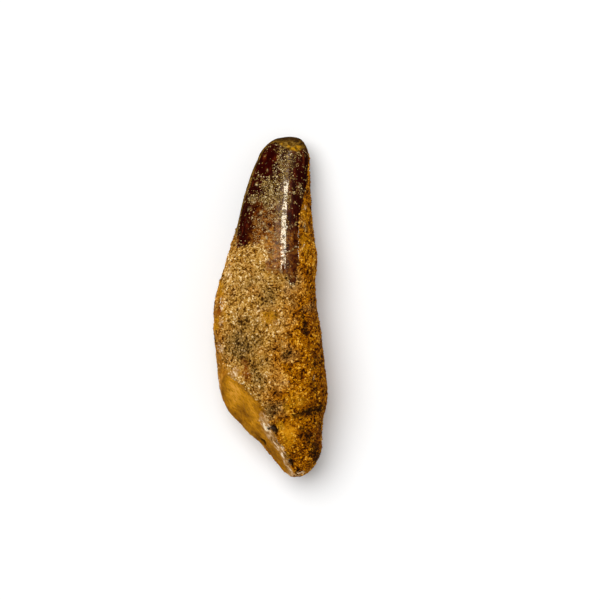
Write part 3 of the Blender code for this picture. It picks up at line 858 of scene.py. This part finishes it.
class Nodes:
    """Short calls for the nodes of one material. Most give an output of the new node."""

    def __init__(self, name):
        self.material = bpy.data.materials.new(name)
        self.material.use_nodes = True
        self.tree = self.material.node_tree
        self.shader = self.tree.nodes["Principled BSDF"]
        self.place = self.value("ShaderNodeTexCoord", "Object")

    def new(self, kind, settings, inputs):
        """A new node with its settings and inputs."""
        node = self.tree.nodes.new(kind)
        for key, value in settings.items():
            setattr(node, key, value)
        self.fill(node, **inputs)
        return node

    def value(self, kind, output, settings=(), **inputs):
        """The named output of a new node."""
        return Value(self, self.new(kind, dict(settings), inputs).outputs[output])

    def put(self, socket, value):
        """Link a value to the socket, or set a plain number or colour on it."""
        if isinstance(value, Value):
            self.tree.links.new(value.socket, socket)
        elif value is not None:
            socket.default_value = value

    def fill(self, node, **inputs):
        """Put values on a node's inputs, which are named with underscores for spaces."""
        for key, value in inputs.items():
            self.put(node.inputs[key.replace("_", " ")], value)

    def area(self, name):
        return self.value("ShaderNodeAttribute", "Fac", {"attribute_name": name})

    def squeezed(self, scale):
        return self.value("ShaderNodeMapping", "Vector", Vector=self.place, Scale=scale)

    def noise(self, name, place=None):
        size, *rest = NOISES[name]
        inputs = dict(zip(("Detail", "Roughness", "Distortion"), rest))
        place = place or self.place
        return self.value("ShaderNodeTexNoise", "Fac", Vector=place, Scale=1.0 / (size * MM), **inputs)

    def math(self, operation, *values):
        node = self.new("ShaderNodeMath", {"operation": operation}, {})
        for socket, value in zip(node.inputs, values):
            self.put(socket, value)
        return Value(self, node.outputs[0])

    def span(self, value, low, high, out_low=0.0, out_high=1.0):
        """A smooth step between two values of the input."""
        return self.value(
            "ShaderNodeMapRange", "Result", {"interpolation_type": "SMOOTHSTEP"}, Value=value,
            From_Min=low, From_Max=high, To_Min=out_low, To_Max=out_high,
        )

    def mix(self, share, a, b):
        """The first colour, replaced by the second as far as the share says."""
        node = self.new("ShaderNodeMix", {"data_type": "RGBA", "blend_type": "MIX"}, {"Factor": share})
        for socket, colour in (("A_Color", a), ("B_Color", b)):
            target = next(s for s in node.inputs if s.identifier == socket)
            if isinstance(colour, str):
                colour = (*linear(colour), 1.0)
            self.put(target, colour)
        return Value(self, next(s for s in node.outputs if s.identifier == "Result_Color"))

    def ramp(self, value, stops):
        node = self.new("ShaderNodeValToRGB", {}, {"Fac": value})
        points = node.color_ramp.elements
        while len(points) < len(stops):
            points.new(1.0)
        for point, (place, code) in zip(points, stops):
            point.position = place
            point.color = (*linear(code), 1.0)
        return Value(self, node.outputs["Color"])

    def bump(self, height, distance_mm, strength, under):
        return self.value("ShaderNodeBump", "Normal", Distance=distance_mm * MM,
                          Strength=strength, Height=height, Normal=under)


SAND_COLOURS = (
    (0.00, "442606"), (0.18, "80500e"), (0.38, "a67424"), (0.58, "c0903c"), (0.78, "deb46a"),
    (0.96, "fae4b4"),
)
IRON_COLOURS = (
    (0.02, "260a00"), (0.20, "5a2800"), (0.41, "8a4c00"), (0.63, "ae6a00"), (0.82, "d08c06"),
    (0.97, "ecb444"),
)
GREY_COLOURS = (
    (0.00, "231203"), (0.20, "573d12"), (0.45, "89662c"), (0.72, "b38b4f"), (1.00, "dfbf8b"),
)
BLUSH_COLOURS = (
    (0.00, "3c2410"), (0.18, "74502a"), (0.40, "a07a4c"), (0.62, "bc966a"), (0.84, "d8b48c"),
    (1.00, "f2dcbc"),
)
MAROON_COLOURS = ((0.0, "200000"), (0.45, "2c0200"), (0.75, "481202"), (1.0, "6b3008"))
AMBER_COLOURS = (
    (0.0, "240400"), (0.25, "461800"), (0.5, "683400"), (0.75, "8c520e"), (1.0, "b47c30"),
)
BREAK_COLOURS = (
    (0.0, "6a3e00"), (0.3, "905a00"), (0.55, "aa6f00"), (0.8, "c6850c"), (1.0, "d89834"),
)
WORN_COLOURS = ((0.36, "2e1800"), (0.45, "533602"), (0.55, "765210"), (0.66, "a68844"))
# Milky spots, whose lightest colours are partly painted highlight.
MILKY_AND_HIGHLIGHT_COLOURS = ((0.34, "8a5c26"), (0.5, "c49a64"), (0.66, "f0dcb8"))
DUST_COLOURS = ((0.0, "543c10"), (0.35, "84662c"), (0.7, "b09258"), (1.0, "e8d2a2"))
TAN_POLISH = ((0.3, "845206"), (0.5, "a47014"), (0.7, "c08c3c"))
ORANGE_POLISH = ((0.3, "8e4a00"), (0.5, "b46a00"), (0.7, "d28c12"))
CREST_COLOURS = ((0.36, "5a3c18"), (0.46, "9a6e3a"), (0.55, "c8a06a"), (0.64, "fae8cc"))
BREAK_SCRATCH = "5e3a00"
BREAK_FLECK = "dcae60"
WARM_DUST = "93643a"
RUST = "783602"
CLOT = "522600"
GOLD = "c48a10"
# Dark pores in the crust, and the painted shade deep in the pits.
PORE_AND_PIT_SHADE = "241003"
# Dark specks on the worn tip, and the painted shade along its very end.
TIP_SPECKS_AND_SHADE = "2e1600"
SAND_FILM = "7a6030"
# Heights where the painted shade along the tip's rounded end starts and is full.
TIP_SHADE_FROM = 33.7
TIP_SHADE_FULL = 34.4
# How much textures are squeezed along each axis, and the slant of the broken face's bands.
STREAK_STRETCH = (1.0, 0.22, 1.0)
BEADS_STRETCH = (0.45, 1.0, 1.0)
SLANT_DEG = -56.0
SLANT_STRETCH = (2.2, 1.0, 1.0)
COAT_ROUGHNESS = 0.06
SKIN_SPECULAR = 0.04
GRAIN_ROUGHNESS = 0.75
GRAIN_SPECULAR = 0.02


def shaded(n, tone, reach):
    """The tone, raised in light patches and lowered in shaded ones."""
    return (tone + n.area("light") * reach - n.area("shade") * reach).clamped()


def crust_colour(n, tone):
    """Sand, iron-stained sand or grey sand by tone, with dark pores where it is dark."""
    stained, dark = n.area("iron"), n.area("dark")
    tone = tone + (n.noise("lumps") - 0.5) * (0.35 + stained * 0.65)
    tone = shaded(n, tone, 0.22)
    iron = n.ramp(tone, IRON_COLOURS)
    hue = n.noise("hue")
    blush = n.span(hue, 0.54, 0.66, 0.0, 0.35)
    sand = n.mix(blush, n.ramp(tone, SAND_COLOURS), n.ramp(tone, BLUSH_COLOURS))
    sand = n.mix(n.span(hue, 0.48, 0.36, 0.0, 0.6), sand, iron)
    colour = n.mix(stained, sand, iron)
    colour = n.mix(n.area("grey"), colour, n.ramp(tone, GREY_COLOURS))
    clots = n.span(n.noise("clots"), 0.53, 0.66) * stained
    colour = n.mix(clots * 0.72, colour, CLOT)
    rust = n.area("rust") * n.span(n.noise("rust"), 0.34, 0.60, 0.35, 0.95)
    colour = n.mix(rust, colour, RUST)
    flakes = n.area("gold") * n.span(n.noise("gold"), 0.35, 0.55)
    colour = n.mix(flakes * 0.8, colour, GOLD)
    pore = n.span(n.noise("pores") + dark * 0.27, 0.60, 0.74)
    return n.mix(pore * n.math("MULTIPLY_ADD", dark, 0.45, 0.42), colour, PORE_AND_PIT_SHADE)


def pits_with_painted_shade(n, colour):
    """The colour, turned nearly black where there is a pit, as painted shade in the hollow, with an
    uneven edge.
    """
    depth = n.area("pits") + (n.noise("pit_edge") - 0.5)
    return n.mix(n.span(depth, 0.2, 0.65, 0.0, 0.94), colour, PORE_AND_PIT_SHADE)


def web(n):
    """A net of light threads between dark specks, from 0 to 1, with broader blotches."""
    threads = n.span(n.math("ABSOLUTE", n.noise("web") - 0.5), 0.13, 0.0)
    return threads + (n.noise("blotches") - 0.5) * 1.1


def ground_colour(n):
    """The cemented ground between the grains: mottled, with small pores."""
    fine = n.noise("ground")
    tone = (web(n) * 0.55 + fine * 0.9 - 0.36).clamped()
    blend = shaded(n, n.noise("polish"), 0.16)
    polish = n.mix(n.area("iron"), n.ramp(blend, TAN_POLISH), n.ramp(blend, ORANGE_POLISH))
    return n.mix(n.area("smooth") * 0.8, crust_colour(n, tone), polish), fine


def enamel_colour(n):
    """Dark maroon enamel with lengthwise streaks, amber where thin, under flecks of dust; along the
    highlight's edge some amber and dust are a painted glow.
    """
    amber, sand = n.area("amber"), n.area("sand")
    streaks = n.noise("streaks", n.squeezed(STREAK_STRETCH))
    enamel = n.ramp(n.span(streaks, 0.3, 0.8), MAROON_COLOURS)
    depth = n.math("MULTIPLY_ADD", n.noise("amber"), 3.6, -1.42)
    enamel = n.mix(amber, enamel, n.ramp(shaded(n, depth, 0.35), AMBER_COLOURS))
    film = n.span(n.noise("film"), 0.46, 0.62) * sand * (1.0 - amber)
    enamel = n.mix(film * 0.22, enamel, SAND_FILM)
    flecks = ((n.noise("worms") - (0.70 - sand * 0.13)) * 20.0).clamped()
    veins = n.area("vein") * n.span(n.noise("crumbs"), 0.40, 0.54)
    flecks = n.math("MAXIMUM", flecks, veins)
    dust = n.ramp(n.span(n.noise("dust"), 0.3, 0.66), DUST_COLOURS)
    return n.mix(flecks * 0.85, enamel, dust), flecks


def slanted(n):
    """Places stretched along the crest, so that a texture read there has slanting bands."""
    turn = (0.0, 0.0, math.radians(SLANT_DEG))
    return n.value("ShaderNodeMapping", "Vector", {"vector_type": "TEXTURE"}, Vector=n.place,
                   Rotation=turn, Scale=SLANT_STRETCH)


def break_colour(n):
    """Golden dentine with soft slanting bands and a few scratches."""
    place = slanted(n)
    scratch = n.noise("scratches", place)
    golden = n.noise("bands", place) * 1.3 + scratch * 1.3 - 0.85
    golden = n.ramp(shaded(n, golden, 0.34), BREAK_COLOURS)
    golden = n.mix(n.span(scratch, 0.44, 0.32) * 0.7, golden, BREAK_SCRATCH)
    flecks = n.span(n.noise("crumbs"), 0.60, 0.72) * 0.4
    return n.mix(flecks, golden, BREAK_FLECK), scratch


def tip_colour(n):
    """Olive-tan where the tip is worn, with dark specks, gold flakes, and painted shade along the very
    end where it rounds away.
    """
    worn = n.ramp(shaded(n, n.noise("worn"), 0.08), WORN_COLOURS)
    worn = n.mix(n.span(n.noise("specks"), 0.54, 0.66) * 0.75, worn, TIP_SPECKS_AND_SHADE)
    flakes = n.area("gold") * n.span(n.noise("gold"), 0.4, 0.6)
    worn = n.mix(flakes * 0.8, worn, GOLD)
    # The dark band at the very end is painted shade, where the tip rounds away from the light.
    height = n.value("ShaderNodeSeparateXYZ", "Y", Vector=n.place)
    rim = n.span(height, TIP_SHADE_FROM * MM, TIP_SHADE_FULL * MM)
    return n.mix(rim * 0.85, worn, TIP_SPECKS_AND_SHADE)


def with_pale_spots(n, colour):
    """The colour under its milky spots, which have uneven edges; on the crest's top and the pinkish bump
    they are partly painted highlight.
    """
    pale = n.area("pale")
    milky = n.ramp(n.noise("ripples") + (pale - 0.6) * 0.3, MILKY_AND_HIGHLIGHT_COLOURS)
    uneven = (n.noise("pale_edge") - 0.5) * 1.4
    return n.mix(n.span(pale + uneven, 0.3, 0.75), colour, milky)


def skin_gloss(n, flecks):
    """Enamel shines, the broken face less so, and sand hardly at all. Gives the bare enamel."""
    pale, broken = n.area("pale"), n.area("broken")
    covered = n.math("MAXIMUM", n.area("crust"), n.area("worn"))
    bare = n.span((1.0 - (covered + broken)).clamped(), 0.4, 1.0) * (1.0 - flecks * 0.45)
    rough = (0.85 - bare * 0.5 - broken * 0.35 - pale * 0.3).clamped()
    beads = n.noise("beads", n.squeezed(BEADS_STRETCH))
    shine = bare * (1.0 - n.area("dull") * 0.88) * n.span(beads, 0.40, 0.49, 0.15, 1.0)
    shine = n.math("MAXIMUM", shine, pale * 0.1)
    shine = shine * n.span(n.area("pits"), 0.0, 0.3, 1.0, 0.0)
    n.fill(n.shader, Roughness=rough, Coat_Weight=shine, Coat_Roughness=COAT_ROUGHNESS,
           Specular_IOR_Level=SKIN_SPECULAR)
    return bare


def skin_material():
    """Glossy maroon enamel, cemented sand, the worn tip and the broken face in one."""
    n = Nodes("fossil_skin")
    ground, fine = ground_colour(n)
    enamel, flecks = enamel_colour(n)
    golden, scratch = break_colour(n)
    colour = n.mix(n.area("crust"), enamel, ground)
    colour = n.mix(n.area("worn"), colour, tip_colour(n))
    colour = n.mix(n.area("broken"), colour, golden)
    crest = n.ramp(n.noise("crest", slanted(n)), CREST_COLOURS)
    colour = n.mix(n.area("crest") * 0.85, colour, crest)
    bare = skin_gloss(n, flecks)
    # Fine relief below what the mesh itself holds, as (height, millimetres, strength).
    sandy = fine * n.area("crust") * (1.0 - n.area("smooth"))
    normal = None
    for height, distance, strength in (
        (sandy, 0.2, 0.8), (flecks, 0.03, 0.6), (n.noise("worn_relief"), 0.16, n.area("worn") * 0.8),
        (n.noise("ripples"), 0.09, bare * 0.8), (scratch, 0.03, n.area("broken") * 0.6),
    ):
        normal = n.bump(height, distance, strength, normal)
    n.fill(n.shader, Base_Color=pits_with_painted_shade(n, with_pale_spots(n, colour)), Normal=normal)
    return n.material


def grain_material(name, colours):
    """Sand in which each grain has its own tone, within the web of light and dark."""
    n = Nodes(name)
    mottle = (n.noise("grain") - 0.62) * 0.5
    tone = (n.area("tone") * 0.55 + mottle + web(n) * 0.5).clamped()
    if colours:
        colour = n.mix(n.area("amber") * 0.6, n.ramp(tone, colours), WARM_DUST)
    else:
        colour = pits_with_painted_shade(n, crust_colour(n, tone))
    n.fill(n.shader, Base_Color=colour, Roughness=GRAIN_ROUGHNESS, Specular_IOR_Level=GRAIN_SPECULAR)
    return n.material


# ---------------------------------------------------------------- grains

# A kind of grain: its least and largest radius, how many places are tried for it, how many
# radii it keeps free, how far its middle is raised in radii, and its least and most height.
GrainKind = namedtuple("GrainKind", "radii tries gap raised flatness")
CRUST_GRAINS = GrainKind((0.10, 0.30), 80000, 1.35, -0.1, (0.45, 0.8))
DUST_GRAINS = GrainKind((0.06, 0.19), 6200, 1.35, 0.0, (0.25, 0.5))
SMALL_GRAINS_SHARE = 1.8
GRAIN_STRETCH = (0.75, 1.35)
GRAIN_DENTS = (0.7, 1.2)
ON_POLE_WITHIN = 0.1
GRAINS_PER_PIECE = 9500
GRAIN_INSET = 0.05
AREAS_ON_GRAINS = ("iron", "grey", "rust", "dark", "gold", "amber", "pits", "light", "shade")


def grain_shape():
    """An icosahedron's points and triangles."""
    mesh = bmesh.new()
    bmesh.ops.create_icosphere(mesh, subdivisions=1, radius=1.0)
    points = np.array([vert.co for vert in mesh.verts])
    faces = np.array([[vert.index for vert in face.verts] for face in mesh.faces])
    mesh.free()
    return points, faces


def grain_net():
    """An icosahedron's triangles unrolled into a square, as the places of their corners."""
    shape, faces = grain_shape()
    corners = shape[faces]
    turn = np.arctan2(corners[..., 1], corners[..., 0]) / (2.0 * math.pi) % 1.0
    pole = np.hypot(corners[..., 0], corners[..., 1]) < ON_POLE_WITHIN
    # A triangle that crosses the seam goes on beyond it, and a pole lies over its edge.
    ring_low = np.where(pole, 1.0, turn).min(axis=1, keepdims=True)
    turn = np.where(turn - ring_low > 0.5, turn - 1.0, turn)
    ring_mean = np.where(pole, 0.0, turn).sum(axis=1, keepdims=True) / (~pole).sum(axis=1, keepdims=True)
    across = np.where(pole, ring_mean, turn)
    across = (across - across.min()) / np.ptp(across)
    return np.stack((across, np.arccos(-corners[..., 2].clip(-1.0, 1.0)) / math.pi), axis=2)


def scatter(grid, normals, density, tries, rng):
    """Random places on the skin, more where it is dense, as quad corners and shares."""
    rows, columns = grid.shape[:2]
    right = np.roll(np.arange(columns), -1)
    across = np.linalg.norm(grid[:-1, right] - grid[:-1], axis=2)
    along = np.linalg.norm(grid[1:] - grid[:-1], axis=2)
    chance = (across * along * density[:-1]).ravel()
    pick = rng.choice(len(chance), tries, p=chance / chance.sum())
    row, column = np.divmod(pick, columns)
    u, v = rng.random((2, tries))
    corners = ((row, column, (1 - u) * (1 - v)), (row, right[column], u * (1 - v)),
               (row + 1, column, (1 - u) * v), (row + 1, right[column], u * v))

    def blend(layer):
        return sum(layer[r, c] * (w[:, None] if layer.ndim == 3 else w) for r, c, w in corners)

    ways = blend(normals)
    return blend, blend(grid), ways / np.linalg.norm(ways, axis=1, keepdims=True)


def spread_out(places, radii, gap):
    """Indices of places kept so that no grain starts within its neighbour's share."""
    tree = KDTree(len(places))
    for index, place in enumerate(places):
        tree.insert(place, index)
    tree.balance()
    gone = np.zeros(len(places), bool)
    kept = []
    for index in np.argsort(-radii, kind="stable"):
        if not gone[index]:
            kept.append(index)
            for _, near, _ in tree.find_range(places[index], radii[index] * gap):
                gone[near] = True
    return np.array(kept)


def grain_bodies(places, ways, radii, kind, rng):
    """Points of all grains: squashed, dented and turned, and raised or sunk on the skin."""
    shape, _ = grain_shape()
    count = len(places)
    size = rng.uniform(*GRAIN_STRETCH, (count, 1, 3))
    size[..., 2] = rng.uniform(*kind.flatness, (count, 1))
    dents = rng.uniform(*GRAIN_DENTS, (count, len(shape), 1))
    spin, _ = np.linalg.qr(rng.normal(size=(count, 3, 3)))
    bodies = (shape * dents) @ spin * size * radii[:, None, None]
    side = np.cross(ways, rng.normal(size=(count, 3)))
    side /= np.linalg.norm(side, axis=1, keepdims=True)
    basis = np.stack((side, np.cross(ways, side), ways), axis=1)
    return bodies @ basis + (places + ways * (radii * kind.raised)[:, None])[:, None, :]


def scatter_grains(grid, normals, layers, density, kind, rng):
    """One kind of grain all over the skin, as bodies and the areas' values on them."""
    blend, places, ways = scatter(grid, normals, density, kind.tries, rng)
    small, large = kind.radii
    radii = small + (large - small) * rng.random(kind.tries) ** SMALL_GRAINS_SHARE
    kept = spread_out(places, radii, kind.gap)
    bodies = grain_bodies(places[kept], ways[kept], radii[kept], kind, rng)
    values = {area: blend(layers[area])[kept] for area in AREAS_ON_GRAINS}
    values["tone"] = rng.random(len(kept))
    return bodies, values


def grain_pieces(name, bodies, values, material):
    """The grains as joined meshes of at most GRAINS_PER_PIECE each, with a map cell a grain."""
    _, faces = grain_shape()
    net = GRAIN_INSET + (1.0 - 2.0 * GRAIN_INSET) * grain_net()
    pieces = []
    for start in range(0, len(bodies), GRAINS_PER_PIECE):
        part = bodies[start:start + GRAINS_PER_PIECE]
        per_grain = part.shape[1]
        triangles = faces[None] + (np.arange(len(part)) * per_grain)[:, None, None]
        areas = {
            area: np.repeat(value[start:start + GRAINS_PER_PIECE], per_grain)
            for area, value in values.items()
        }
        cells = math.ceil(math.sqrt(len(part)))
        cell = np.column_stack(np.divmod(np.arange(len(part)), cells))
        piece = mesh_object(
            f"{name}_{len(pieces) + 1}", part.reshape(-1, 3), triangles.reshape(-1, 3).tolist(),
            areas, material, (cell[:, None, None] + net[None]) / cells,
        )
        pieces.append(piece)
    return pieces


# ---------------------------------------------------------------- the tooth

def on_grid(layer, grid):
    """A list of values at the grid's points, back in rows and columns with its poles."""
    rows, columns = grid.shape[:2]
    inner = layer[1:-1].reshape(rows - 2, columns, *layer.shape[1:])
    ends = [np.broadcast_to(layer[k], (1, columns) + layer.shape[1:]) for k in (0, -1)]
    return np.concatenate((ends[0], inner, ends[1]))


def stand_for_tooth(piece):
    """A visible piece that takes the CAD solid's place."""
    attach(piece, "root")
    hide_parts("tooth")


def raised_skin(node):
    """The skin with its relief, as a grid and as a list of points, and its areas."""
    grid, flatness = read_skin(node)
    points, out = flatten_grid(grid), flatten_grid(grid_normals(grid))
    flat_lists = {name: flatten_grid(share[..., None])[:, 0] for name, share in flatness.items()}
    areas = skin_areas(points, out, flat_lists)
    height = relief(points, areas) * (1.0 - flat_lists["rest"])
    points = points + out * height[:, None]
    points[:, 2] = np.maximum(points[:, 2], 0.0)
    return on_grid(points, grid), points, areas, flatness["rest"]


def grain_densities(grid, points, layers, resting):
    """How densely crust grains and dust lie at each point of the grid."""
    clear = (1.0 - layers["broken"]) * (1.0 - resting) * (1.0 - layers["pale"])
    clear *= (1.0 - 0.7 * layers["crest"]) * ease(0.6, 0.1, layers["pits"])
    clear *= 1.0 - layers["smooth"]
    dust = (1.0 - layers["crust"]) * (1.0 - layers["worn"]) * clear
    dust *= (0.04 + layers["sand"] ** 1.5) * (1.0 - 0.5 * layers["amber"])
    clumps = ease(-0.25, 0.45, skin_noise(points, DUST_CLUMPS))
    dust *= 0.35 + on_grid(clumps, grid)
    return layers["crust"] * clear, dust


def build_tooth():
    """The tooth's skin and its grains, standing for the CAD solid."""
    grid, points, areas, resting = raised_skin(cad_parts["tooth"])
    normals = grid_normals(grid)
    layers = {name: on_grid(values, grid) for name, values in areas.items()}
    crust_density, dust_density = grain_densities(grid, points, layers, resting)
    rng = np.random.default_rng(SEED)
    crust, crust_values = scatter_grains(grid, normals, layers, crust_density, CRUST_GRAINS, rng)
    dust, dust_values = scatter_grains(grid, normals, layers, dust_density, DUST_GRAINS, rng)

    # All points are fitted to the solid's box together.
    parts = (points, crust.reshape(-1, 3), dust.reshape(-1, 3))
    everything = np.vstack(parts)
    everything[:, 2] = np.maximum(everything[:, 2], 0.0)
    everything = fit_to_box(everything, cad_box)
    ends = np.cumsum([len(part) for part in parts[:-1]])
    points, crust_points, dust_points = np.split(everything, ends)

    faces, places = grid_faces(grid)
    pieces = [mesh_object("tooth_skin", points, faces, areas, skin_material(), places)]
    pieces += grain_pieces(
        "crust_grains", crust_points.reshape(crust.shape), crust_values,
        grain_material("crust_sand", None),
    )
    pieces += grain_pieces(
        "enamel_dust", dust_points.reshape(dust.shape), dust_values,
        grain_material("pale_dust", DUST_COLOURS),
    )
    for piece in pieces:
        stand_for_tooth(piece)


# ---------------------------------------------------------------- studio

VIEW_WIDTH = 122.9
VIEW_PLANE = 6.0
LENS = 200.0
SENSOR = 36.0
CAMERA_X = 6.05
CAMERA_Y = 1.35
CLIP_METRES = (0.01, 20.0)

FLOOR_COLOUR = (0.9, 0.9, 0.9)
FLOOR_WIDTH = 6000.0
FLOOR_ROUGHNESS = 0.9
SKY_LIGHT = 0.45
SKY_MIRRORED = 0.04
SKY_MIRRORED_COLOUR = (1.0, 0.6, 0.2, 1.0)
SKY_SEEN = 1.0
WINDOW_DIRECTION = (-0.28, 0.32, 0.90)
WINDOW_STRENGTH = 2.55
WINDOW_WIDTH_DEG = 50.0
# Lights that are only seen mirrored in the tooth. Distance and size are in metres.
Reflection = namedtuple("Reflection", "direction distance size turn_deg watts colour")
STRIP = Reflection((0.322, 0.47, 0.80), 0.6, (0.108, 0.4), 18.0, 3.1, (1.0, 0.9, 0.68))
GLOW = Reflection((0.20, 0.47, 0.84), 0.62, (0.22, 0.5), 0.0, 0.8, (1.0, 0.66, 0.4))


def add_camera():
    """Straight above the tooth, with the tip at the top of the picture."""
    data = bpy.data.cameras.new("camera")
    data.lens = LENS
    data.sensor_width = SENSOR
    data.clip_start, data.clip_end = CLIP_METRES
    camera = bpy.data.objects.new("camera", data)
    height = VIEW_PLANE + VIEW_WIDTH * LENS / SENSOR
    camera.location = (CAMERA_X * MM, CAMERA_Y * MM, height * MM)
    bpy.context.scene.collection.objects.link(camera)
    bpy.context.scene.camera = camera


def add_window():
    """Soft daylight from the upper left, even over the whole floor; it is not mirrored."""
    data = bpy.data.lights.new("window", "SUN")
    data.energy = WINDOW_STRENGTH
    data.angle = math.radians(WINDOW_WIDTH_DEG)
    window = bpy.data.objects.new("window", data)
    way = Vector(WINDOW_DIRECTION)
    window.location = way
    window.rotation_euler = way.to_track_quat("Z", "Y").to_euler()
    window.visible_glossy = False
    bpy.context.scene.collection.objects.link(window)


def add_reflection(name, kind):
    """A rectangular light that faces the tooth and is only seen mirrored in it."""
    data = bpy.data.lights.new(name, "AREA")
    data.shape = "RECTANGLE"
    data.size, data.size_y = kind.size
    data.energy = kind.watts
    data.color = kind.colour
    light = bpy.data.objects.new(name, data)
    way = Vector(kind.direction).normalized()
    light.location = way * kind.distance
    turn = Quaternion((0.0, 0.0, 1.0), math.radians(kind.turn_deg))
    light.rotation_euler = (way.to_track_quat("Z", "Y") @ turn).to_euler()
    light.visible_diffuse = False
    bpy.context.scene.collection.objects.link(light)


def add_floor():
    """A plain pale floor, wide enough to fill every view."""
    n = Nodes("floor")
    n.fill(n.shader, Base_Color=(*FLOOR_COLOUR, 1.0), Roughness=FLOOR_ROUGHNESS)
    half = FLOOR_WIDTH / 2.0
    corners = np.array(((-half, -half, 0), (half, -half, 0), (half, half, 0), (-half, half, 0)))
    floor = mesh_object("floor", corners, [(0, 1, 2, 3)], material=n.material)
    floor.visible_glossy = False


def add_world():
    """White behind the floor, softer as a light, and nearly dark in reflections."""
    world = bpy.data.worlds.new("studio")
    world.use_nodes = True
    nodes, links = world.node_tree.nodes, world.node_tree.links
    background = nodes["Background"]
    path = nodes.new("ShaderNodeLightPath")
    colour = nodes.new("ShaderNodeMix")
    colour.data_type = "RGBA"
    links.new(path.outputs["Is Glossy Ray"], colour.inputs["Factor"])
    sockets = {socket.identifier: socket for socket in (*colour.inputs, *colour.outputs)}
    sockets["A_Color"].default_value = (1.0, 1.0, 1.0, 1.0)
    sockets["B_Color"].default_value = SKY_MIRRORED_COLOUR
    links.new(sockets["Result_Color"], background.inputs["Color"])
    strength = None
    for output, share in (("Is Diffuse Ray", SKY_LIGHT), ("Is Glossy Ray", SKY_MIRRORED),
                          ("Is Camera Ray", SKY_SEEN)):
        term = nodes.new("ShaderNodeMath")
        term.operation = "MULTIPLY_ADD"
        links.new(path.outputs[output], term.inputs[0])
        term.inputs[1].default_value = share
        if strength:
            links.new(strength, term.inputs[2])
        else:
            term.inputs[2].default_value = 0.0
        strength = term.outputs[0]
    links.new(strength, background.inputs["Strength"])
    bpy.context.scene.world = world


def add_studio():
    """Camera, floor, surroundings and lights."""
    add_camera()
    add_floor()
    add_world()
    add_window()
    add_reflection("strip", STRIP)
    add_reflection("glow", GLOW)
    bpy.context.scene.view_settings.view_transform = "Standard"


build_tooth()
add_studio()
